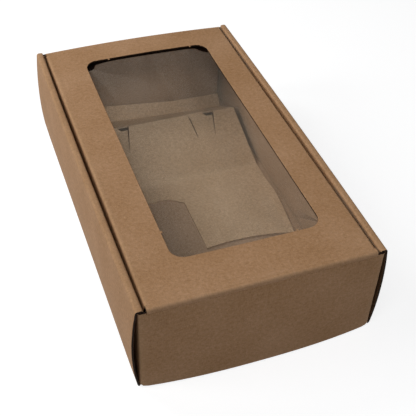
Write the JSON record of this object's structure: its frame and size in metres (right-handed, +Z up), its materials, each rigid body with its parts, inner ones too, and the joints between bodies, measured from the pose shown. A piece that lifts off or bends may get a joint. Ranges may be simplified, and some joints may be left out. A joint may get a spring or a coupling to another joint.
{
  "type": "bottle gift box",
  "caption": "Folded corrugated gift box with rolled-over side walls, a hinged film-window lid and a loose folded neck support for bottles lying side by side.",
  "frame": {"origin": "middle of the underside of the closed box", "axes": "+Y from the hinged short wall to the tuck-flap wall, +X to the right, +Z up; the box lies flat with the window on top"},
  "size_m": [0.1996, 0.34, 0.086],
  "materials": {
    "kraft_board": "matte brown kraft liner",
    "insert_board": "matte greyer brown liner",
    "clear_film": "clear glossy film"
  },
  "bodies": {
    "box": {"tray": "kraft_board", "insert": "insert_board"},
    "lid_panel": {"lid": "kraft_board", "window_film": "clear_film"}
  },
  "joints": [
    {"name": "lid_hinge", "type": "hinge", "parent": "box", "child": "lid_panel", "pos_m": [0, -0.17, 0.086], "axis": [1, 0, 0], "range_deg": [0, 180]}
  ]
}
